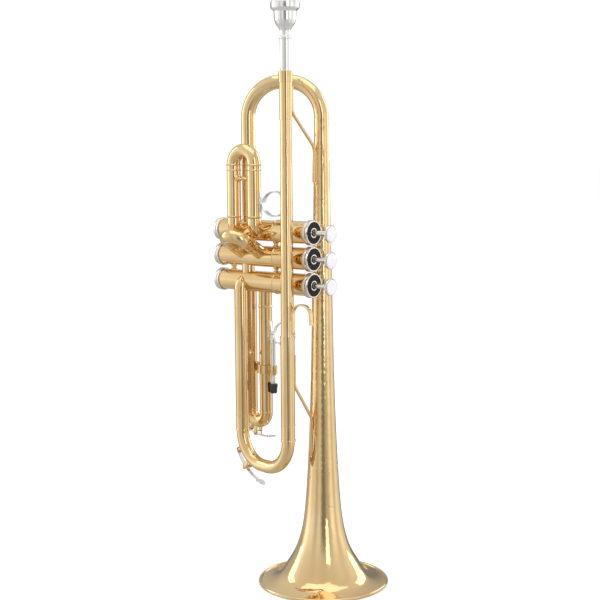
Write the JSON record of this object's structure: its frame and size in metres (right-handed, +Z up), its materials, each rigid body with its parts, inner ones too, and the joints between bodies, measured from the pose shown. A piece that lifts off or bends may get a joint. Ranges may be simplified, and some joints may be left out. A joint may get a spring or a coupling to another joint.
{
  "type": "trumpet",
  "caption": "B-flat trumpet with piston valves, tuning and valve slides, water keys, finger rings, finger hook and a seated mouthpiece.",
  "frame": {"origin": "centre of the bell mouth on the resting plane, with the trumpet standing on its bell", "axes": "+Z up along the bell axis towards the bow and mouthpiece, +X along the valve axes towards the finger buttons, +Y towards the player's left hand, the side the bell is on"},
  "size_m": [0.1693, 0.1253, 0.5412],
  "materials": {
    "lacquer": "polished, clear gold lacquer",
    "silver_plate": "polished silver plate",
    "nickel_plate": "polished nickel plate",
    "black_rubber": "matt",
    "black_nylon": "satin",
    "black_felt": "felt",
    "pearl": "polished mother of pearl",
    "spring_steel": "bright drawn wire",
    "cork": "natural cork"
  },
  "bodies": {
    "horn": {"bell_flare": "lacquer", "bell_stem": "lacquer", "bell_rim_bead": "lacquer", "bell_bow": "lacquer", "bell_tail": "lacquer", "valve_casing_1": "lacquer", "valve_casing_2": "lacquer", "valve_casing_3": "lacquer", "bottom_caps": "nickel_plate", "top_caps": "nickel_plate", "top_cap_felts": "black_felt", "valve_guides": "black_nylon", "valve_springs": "spring_steel", "crossover_tubes": "lacquer", "casing_ties": "lacquer", "first_slide_inner_tubes": "lacquer", "second_slide_outer_tubes": "lacquer", "third_slide_outer_tube": "lacquer", "third_slide_inner_tube": "lacquer", "third_slide_brace": "lacquer", "stop_lug": "lacquer", "leadpipe": "lacquer", "mouthpiece_receiver": "lacquer", "upper_outer_tube": "lacquer", "lower_outer_tube": "lacquer", "tube_bands": "lacquer", "upper_brace": "lacquer", "lower_brace": "lacquer", "finger_hook": "lacquer"},
    "valve_1": {"piston_1": "nickel_plate", "finger_button_1": "nickel_plate", "pearl_inlay_1": "pearl"},
    "valve_2": {"piston_2": "nickel_plate", "finger_button_2": "nickel_plate", "pearl_inlay_2": "pearl"},
    "valve_3": {"piston_3": "nickel_plate", "finger_button_3": "nickel_plate", "pearl_inlay_3": "pearl"},
    "main_slide": {"tuning_slide_upper_leg": "nickel_plate", "tuning_slide_lower_leg": "nickel_plate", "tuning_slide_bow": "lacquer", "tuning_slide_ferrules": "lacquer", "main_key_saddle": "lacquer"},
    "main_key": {"main_water_key": "silver_plate", "main_key_cork": "cork"},
    "first_slide": {"first_slide_bow": "lacquer", "first_slide_sleeves": "lacquer", "thumb_ring": "silver_plate"},
    "second_slide": {"second_slide_legs": "lacquer", "second_slide_bow": "lacquer"},
    "third_slide": {"third_slide_sleeve": "lacquer", "third_slide_inner_leg": "nickel_plate", "third_slide_bow": "lacquer", "third_slide_ring": "silver_plate", "stop_rod": "silver_plate", "stop_rod_bumper": "black_rubber", "third_key_saddle": "lacquer"},
    "third_key": {"third_water_key": "silver_plate", "third_key_cork": "cork"},
    "mouthpiece": {"mouthpiece": "silver_plate"}
  },
  "joints": [
    {"name": "valve_1_stroke", "type": "slide", "parent": "horn", "child": "valve_1", "axis": [-1, 0, 0], "range_m": [0, 0.016], "stiffness_N_per_m": 230, "springref_m": -0.012, "deforming": ["valve_springs"]},
    {"name": "valve_2_stroke", "type": "slide", "parent": "horn", "child": "valve_2", "axis": [-1, 0, 0], "range_m": [0, 0.016], "stiffness_N_per_m": 230, "springref_m": -0.012, "deforming": ["valve_springs"]},
    {"name": "valve_3_stroke", "type": "slide", "parent": "horn", "child": "valve_3", "axis": [-1, 0, 0], "range_m": [0, 0.016], "stiffness_N_per_m": 230, "springref_m": -0.012, "deforming": ["valve_springs"]},
    {"name": "main_slide_draw", "type": "slide", "parent": "horn", "child": "main_slide", "axis": [0, 0, -1], "range_m": [0, 0.04]},
    {"name": "first_slide_draw", "type": "slide", "parent": "horn", "child": "first_slide", "axis": [0, 0, 1], "range_m": [0, 0.02]},
    {"name": "second_slide_draw", "type": "slide", "parent": "horn", "child": "second_slide", "axis": [0, -0.866, 0.5], "range_m": [0, 0.01]},
    {"name": "third_slide_draw", "type": "slide", "parent": "horn", "child": "third_slide", "axis": [0, 0, -1], "range_m": [0, 0.02]},
    {"name": "main_key_hinge", "type": "hinge", "parent": "main_slide", "child": "main_key", "pos_m": [-0.06744, -0.0319, 0.10735], "axis": [-0.1521, -0.9884, 0], "range_deg": [0, 15], "stiffness_Nm_per_rad": 0.05, "springref_deg": -45.84},
    {"name": "third_key_hinge", "type": "hinge", "parent": "third_slide", "child": "third_key", "pos_m": [-0.07431, -0.008, 0.13545], "axis": [0, -1, 0], "range_deg": [0, 15], "stiffness_Nm_per_rad": 0.05, "springref_deg": -45.84},
    {"name": "mouthpiece_seat", "type": "slide", "parent": "horn", "child": "mouthpiece", "axis": [0, 0, 1], "range_m": [0, 0.024]}
  ]
}
